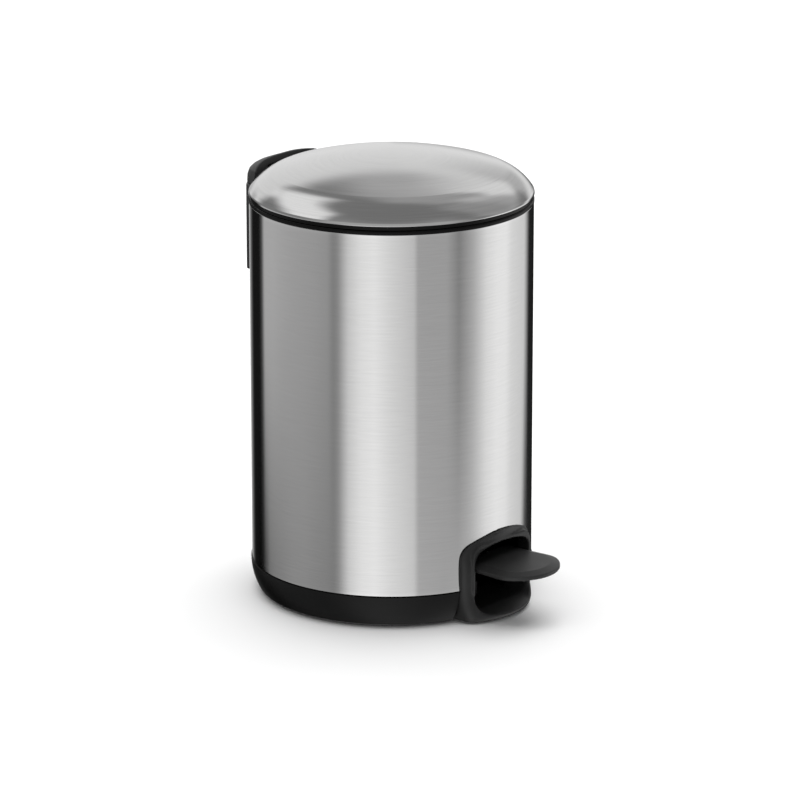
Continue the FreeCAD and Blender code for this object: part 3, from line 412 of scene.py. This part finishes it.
# %% [markdown]
# Screws repeat, so one screw is modelled well and Geometry Nodes put it on every spot. The spots
# are measured from the solids: each plain screw is an island of the part's mesh, its head is its
# wide end, and its length is its longest side.

# %% Measure the plain screws
SAME_LEVEL = 0.01 * MM


def screw_spots(node_name):
    """[(centre of the head's face, direction the face looks, head radius, length)] in metres."""
    work = bmesh.new()
    work.from_mesh(nodes[node_name].data)
    bmesh.ops.remove_doubles(work, verts=work.verts, dist=0.002 * MM)
    left = set(work.verts)
    spots = []
    while left:
        island, edge = set(), {left.pop()}
        while edge:
            island |= edge
            edge = {e.other_vert(v) for v in edge for e in v.link_edges} - island
        left -= island
        points = [v.co.copy() for v in island]
        low = Vector([min(p[i] for p in points) for i in range(3)])
        high = Vector([max(p[i] for p in points) for i in range(3)])
        axis = max(range(3), key=lambda i: (high - low)[i])
        across = (axis + 1) % 3
        centre = (low + high) / 2

        def girth(level):
            return max(abs(p[across] - centre[across]) for p in points
                       if abs(p[axis] - level) < SAME_LEVEL)

        sign = 1 if girth(high[axis]) > girth(low[axis]) else -1
        face = centre.copy()
        face[axis] = high[axis] if sign > 0 else low[axis]
        way = Vector([sign if i == axis else 0 for i in range(3)])
        radius = (high - low)[across] / 2
        spots.append((face, way, radius, (high - low)[axis]))
    work.free()
    return sorted(spots, key=lambda spot: tuple(spot[0]))


SCREW_NODES = [
    ("base_screws", "can"), ("bracket_screws", "can"), ("guide_screws", "can"),
    ("housing_screws", "can"), ("hood_screws", "lid"),
]
for name, body in SCREW_NODES:
    found = screw_spots(name)
    head, length = found[0][2:]
    print(name, len(found), "head radius", round(head / MM, 2), "length", round(length / MM, 2))

# %% [markdown]
# The screw is a stack of rings: a pan head with a rounded rim and a cross pressed into its middle,
# and a shank with rolled threads below. It is kept simple because it is small and repeated.

# %% Model one screw
SCREW_SIDES = 32
HEAD_HEIGHT = 1.1 * MM
SHANK_RADIUS = 1.25 * MM
THREAD_PITCH = 0.7 * MM
THREAD_ROOT = 0.84
CROSS_DEPTH = 0.6 * MM
CROSS_REACH = 0.55
CROSS_WIDTH = 0.16


def screw_mesh(label, head, length):
    """A pan-head screw whose head's face is at the origin, looking up +Z."""
    work = bmesh.new()
    rings = []
    inner = [(share * head, 0.0) for share in (0.12, 0.24, 0.36, 0.48, 0.6, 0.74)]
    outer = [(0.87 * head, -0.1 * MM), (0.97 * head, -0.3 * MM), (head, -0.55 * MM),
             (head, -HEAD_HEIGHT), (SHANK_RADIUS, -HEAD_HEIGHT)]
    turns = int((length - HEAD_HEIGHT - 0.8 * MM) / THREAD_PITCH)
    thread = []
    for turn in range(max(turns, 0)):
        at = -HEAD_HEIGHT - THREAD_PITCH * (turn + 0.25)
        thread += [(SHANK_RADIUS, at), (SHANK_RADIUS * THREAD_ROOT, at - THREAD_PITCH * 0.5)]
    tip = [(SHANK_RADIUS * 0.9, -length + 0.3 * MM), (SHANK_RADIUS * 0.6, -length)]
    for radius, height in inner + outer + thread + tip:
        ring = []
        for side in range(SCREW_SIDES):
            angle = math.tau * side / SCREW_SIDES
            x, y = radius * math.cos(angle), radius * math.sin(angle)
            reach, width = max(abs(x), abs(y)), min(abs(x), abs(y))
            sunk = height == 0.0 and reach < CROSS_REACH * head and width < CROSS_WIDTH * head
            ring.append(work.verts.new((x, y, height - (CROSS_DEPTH if sunk else 0.0))))
        rings.append(ring)
    for above, below in zip(rings, rings[1:]):
        for side in range(SCREW_SIDES):
            after = (side + 1) % SCREW_SIDES
            work.faces.new((above[side], below[side], below[after], above[after]))
    for ring, height in ((rings[0], -CROSS_DEPTH), (rings[-1], -length)):
        hub = work.verts.new((0, 0, height))
        for side in range(SCREW_SIDES):
            work.faces.new((hub, ring[side], ring[(side + 1) % SCREW_SIDES]))
    bmesh.ops.recalc_face_normals(work, faces=work.faces)
    mesh = bpy.data.meshes.new(label)
    work.to_mesh(mesh)
    work.free()
    return mesh


print("screw:", SCREW_SIDES, "sides, thread pitch", THREAD_PITCH / MM, "mm")


# %% [markdown]
# The tree below takes a cloud of spots and sets one screw on each. Every screw is driven home at
# a different angle, so each gets its own turn about its axis, from a fixed seed.

# %% The tree that sets screws on spots
def screw_tree():
    tree = bpy.data.node_groups.new("screws_on_spots", "GeometryNodeTree")
    face = tree.interface
    face.new_socket("Spots", in_out="INPUT", socket_type="NodeSocketGeometry")
    for name, kind in (("Screw", "NodeSocketObject"), ("Lean", "NodeSocketVector"),
                       ("Seed", "NodeSocketInt"), ("Finish", "NodeSocketMaterial")):
        face.new_socket(name, in_out="INPUT", socket_type=kind)
    face.new_socket("Screws", in_out="OUTPUT", socket_type="NodeSocketGeometry")
    node = tree.nodes.new
    link = tree.links.new
    given, result = node("NodeGroupInput"), node("NodeGroupOutput")
    screw, spread = node("GeometryNodeObjectInfo"), node("GeometryNodeInstanceOnPoints")
    spin, turn = node("FunctionNodeRandomValue"), node("ShaderNodeCombineXYZ")
    real, paint = node("GeometryNodeRealizeInstances"), node("GeometryNodeSetMaterial")
    twist = node("GeometryNodeRotateInstances")
    spin.data_type = "FLOAT"
    floats = [socket for socket in spin.inputs if socket.type == "VALUE"]
    floats[1].default_value = math.tau
    link(given.outputs["Seed"], spin.inputs["Seed"])
    link(given.outputs["Screw"], screw.inputs["Object"])
    link(given.outputs["Spots"], spread.inputs["Points"])
    link(screw.outputs["Geometry"], spread.inputs["Instance"])
    link(given.outputs["Lean"], spread.inputs["Rotation"])
    link([out for out in spin.outputs if out.type == "VALUE"][0], turn.inputs["Z"])
    link(spread.outputs["Instances"], twist.inputs["Instances"])
    link(turn.outputs["Vector"], twist.inputs["Rotation"])
    link(twist.outputs["Instances"], real.inputs["Geometry"])
    link(real.outputs["Geometry"], paint.inputs["Geometry"])
    link(given.outputs["Finish"], paint.inputs["Material"])
    link(paint.outputs["Geometry"], result.inputs["Screws"])
    return tree


def set_inputs(modifier, **inputs):
    """Sets a tree's named inputs by their identifiers."""
    named = {item.name: item.identifier for item in modifier.node_group.interface.items_tree
             if item.in_out == "INPUT"}
    for name, value in inputs.items():
        modifier[named[name]] = value


SCREWS_ON_SPOTS = screw_tree()
print("tree nodes:", len(SCREWS_ON_SPOTS.nodes))

# %% [markdown]
# Each kind of screw gets its own piece. Its size comes from the solids, its model is made once,
# and the tree's result is turned into a plain mesh, because a live tree would be lost later.

# %% Set the screws
FIRST_SEED = 11
for number, (name, body) in enumerate(SCREW_NODES):
    spots = screw_spots(name)
    way, head, length = spots[0][1:]
    model = bpy.data.objects.new(name + "_model", screw_mesh(name + "_model", head, length))
    cloud = bpy.data.meshes.new(name + "_set")
    cloud.from_pydata([spot[0] for spot in spots], [], [])
    piece = bpy.data.objects.new(name + "_set", cloud)
    bpy.context.scene.collection.objects.link(piece)
    modifier = piece.modifiers.new("screws", "NODES")
    modifier.node_group = SCREWS_ON_SPOTS
    lean = way.to_track_quat("Z", "Y").to_euler()
    set_inputs(modifier, Screw=model, Lean=tuple(lean), Seed=FIRST_SEED + number,
               Finish=finishes["zinc_steel"])
    settle(piece, body, "zinc_steel", name)
    bpy.data.objects.remove(model)

# %% [markdown]
# The room: a pale floor that is plain to the eye, and soft panels of light round the bin. A
# polished can shows the whole room as upright stripes, so the room's brightness is given by
# compass direction: a wide panel in front, a second one to the right, dark gaps at their edges
# and black flags at both sides, which draw the can's outline.

# %% Floor
FLOOR_RADIUS = 30.0
FLOOR_GAP = 0.1 * MM


def pale_floor():
    bpy.ops.mesh.primitive_circle_add(vertices=128, radius=FLOOR_RADIUS, fill_type="NGON")
    floor = bpy.context.object
    floor.name = "floor"
    floor.location.z = cad_box[0][2] - FLOOR_GAP
    paint = Finish("floor_pale")
    spot = paint.place()
    tone = paint.mix(paint.noise(spot, 0.004, 2.0), grey(0.90), grey(0.92))
    floor.data.materials.append(paint.surface(Base_Color=tone, Roughness=0.7))
    floor.visible_glossy = False
    print("floor at", round(floor.location.z / MM, 2), "mm")


pale_floor()

# %% [markdown]
# A long lens from nearly three metres away keeps the can's sides almost parallel, as in a
# catalogue. The camera looks down by the angle that shows the lid as a flat oval.

# %% Camera
LENS_MM = 211.1
EYE_SPOT = (-2.079, -1.745, 0.9255)
EYE_TILT = 73.415
EYE_TURN = -50.098


def camera():
    data = bpy.data.cameras.new("camera")
    data.lens = LENS_MM
    data.sensor_width = 36.0
    data.dof.use_dof = False
    eye = bpy.data.objects.new("camera", data)
    eye.location = EYE_SPOT
    eye.rotation_euler = (math.radians(EYE_TILT), 0.0, math.radians(EYE_TURN))
    bpy.context.scene.collection.objects.link(eye)
    bpy.context.scene.camera = eye
    print("camera", round(Vector(EYE_SPOT).length, 2), "m away, lens", LENS_MM)


camera()

# %% [markdown]
# The world's light is one expression on the direction a ray takes. Below the horizon, which is
# where the upright wall looks, two tables give the brightness round the room, one at knee height
# and one at the floor. Above it, where the lid looks, soft-edged panels are added up.

# %% The room's light by direction
FRONT = math.radians(-140.0)
# How far down a ray points, as the drop of its unit direction, where each table below holds.
KNEE_DROP = 0.281
FLOOR_DROP = 0.317
# degrees round from the front (right is positive), brightness of the wall there at knee height
WALL = [
    (-180, 0.80), (-170, 0.55), (-160, 0.15), (-153, 0.01), (-135, 0.01), (-130, 0.10),
    (-125.5, 0.55), (-112, 0.58), (-90, 0.54), (-65, 0.50), (-53, 0.46), (-48, 0.33),
    (-44, 0.38), (-35, 0.90), (-25, 1.15), (-14, 1.24), (0, 1.02), (18, 0.80), (21, 0.54),
    (45, 0.53), (49, 0.46), (56, 0.33), (69, 0.62), (83, 1.10), (95, 1.26), (106, 1.26),
    (114, 1.06), (136, 0.86), (143.5, 0.25), (148, 0.02), (172, 0.01), (180, 0.60),
]
# the same at floor height
SKIRTING = [
    (-180, 0.80), (-170, 0.55), (-160, 0.13), (-153, 0.01), (-130, 0.00), (-126, 0.05),
    (-121, 0.24), (-112, 0.30), (-90, 0.38), (-77, 0.39), (-53, 0.33), (-48, 0.32),
    (-44, 0.42), (-35, 0.98), (-25, 1.22), (-14, 1.30), (0, 1.10), (18, 0.92), (22, 0.62),
    (45, 0.56), (56, 0.58), (69, 0.76), (83, 1.12), (95, 1.28), (106, 1.20), (114, 1.02),
    (132, 0.84), (138, 0.36), (142, 0.03), (172, 0.01), (180, 0.60),
]


def stops(table):
    return [((degrees + 180) / 360, level) for degrees, level in table]


def panel(turn, rise, around, up, soft):
    """A soft-edged panel of light: 1 inside its ranges of degrees round and up, 0 outside."""
    inside = turn.rise(around[0] - soft[0], around[0] + soft[0])
    inside = inside * (1 - turn.rise(around[1] - soft[0], around[1] + soft[0]))
    inside = inside * rise.rise(up[0] - soft[1], up[0] + soft[1])
    return inside * (1 - rise.rise(up[1] - soft[1], up[1] + soft[1]))


# light from everywhere, then panels: where their degrees count from (right is positive in front
# and left is positive behind), strength, degrees round, degrees up, softness of their edges
AMBIENT = 0.25
PANELS = [
    ("front", 0.27, (122, 143), (20, 58), (8, 6)), ("front", 0.14, (88, 122), (-10, 68), (8, 8)),
    ("front", 0.22, (-60, 60), (-10, 50), (16, 10)), ("front", 0.85, (-152, -70), (32, 59), (8, 6)),
    ("behind", 0.66, (-46, 30), (-30, 9), (8, 4)), ("behind", 0.66, (-8, 44), (9, 32), (6, 4)),
    ("behind", 0.34, (-34, -8), (9, 23), (6, 4)), ("behind", 0.72, (-40, -9), (24, 43), (7, 4)),
    ("behind", 0.28, (-9, 8), (33, 46), (5, 5)), ("behind", 0.20, (-50, 6), (44, 70), (10, 6)),
]


def room():
    world = bpy.data.worlds.new("room")
    world.use_nodes = True
    bpy.context.scene.world = world
    light = Finish("room", world.node_tree)
    way = light.add("ShaderNodeTexCoord", out="Generated")
    x, y, z = light.split(way)
    around = (y.math("ARCTAN2", x) - FRONT) / math.tau
    front = (around + 0.5).math("FRACT")
    wall = light.add("ShaderNodeValToRGB", {"stops": stops(WALL)}, {0: front})
    skirting = light.add("ShaderNodeValToRGB", {"stops": stops(SKIRTING)}, {0: front})
    height = (z + FLOOR_DROP) / (FLOOR_DROP - KNEE_DROP)
    height = height.math("MAXIMUM", -0.4).math("MINIMUM", 1.15)
    walls = (skirting + (wall - skirting) * height).math("MAXIMUM", 0.0)
    turn = front * 360 - 180
    behind = around.math("FRACT") * 360 - 180
    rise = z.math("ARCSINE") * (180 / math.pi)
    degrees = {"front": turn, "behind": behind}
    above = AMBIENT
    for side, strength, wide, high, soft in PANELS:
        above = above + strength * panel(degrees[side], rise, wide, high, soft)
    seen = light.mix(rise.rise(-9.0, 4.0), walls, above)
    eye = light.add("ShaderNodeLightPath", out="Is Camera Ray")
    both = light.mix(eye, seen, grey(1.0))
    glow = light.add("ShaderNodeBackground", values={0: both, 1: 1.0})
    light.add("ShaderNodeOutputWorld", values={0: glow})


room()
print("room:", len(WALL), "and", len(SKIRTING), "stops,", len(PANELS), "panels")

# %% [markdown]
# A large lamp overhead gives the soft shadow under the bin. It is hidden from reflections, which
# belong to the room, and the plain view transform keeps the floor white.

# %% Soft light from above
LAMP_SPOT = Vector((0.4, 0.2, 2.6))
LAMP_TARGET = Vector((0.0, 0.0, 0.15))
LAMP_SIZE = 3.2
LAMP_POWER = 100.0


def overhead_lamp():
    data = bpy.data.lights.new("overhead", "AREA")
    data.shape = "RECTANGLE"
    data.size = data.size_y = LAMP_SIZE
    data.energy = LAMP_POWER
    lamp = bpy.data.objects.new("overhead", data)
    lamp.location = LAMP_SPOT
    lamp.rotation_euler = (LAMP_TARGET - LAMP_SPOT).to_track_quat("-Z", "Y").to_euler()
    lamp.visible_glossy = False
    bpy.context.scene.collection.objects.link(lamp)


overhead_lamp()
print("lamp of", LAMP_POWER, "W,", LAMP_SIZE, "m square")

scene = bpy.context.scene
scene.view_settings.view_transform = "Standard"
scene.view_settings.look = "None"
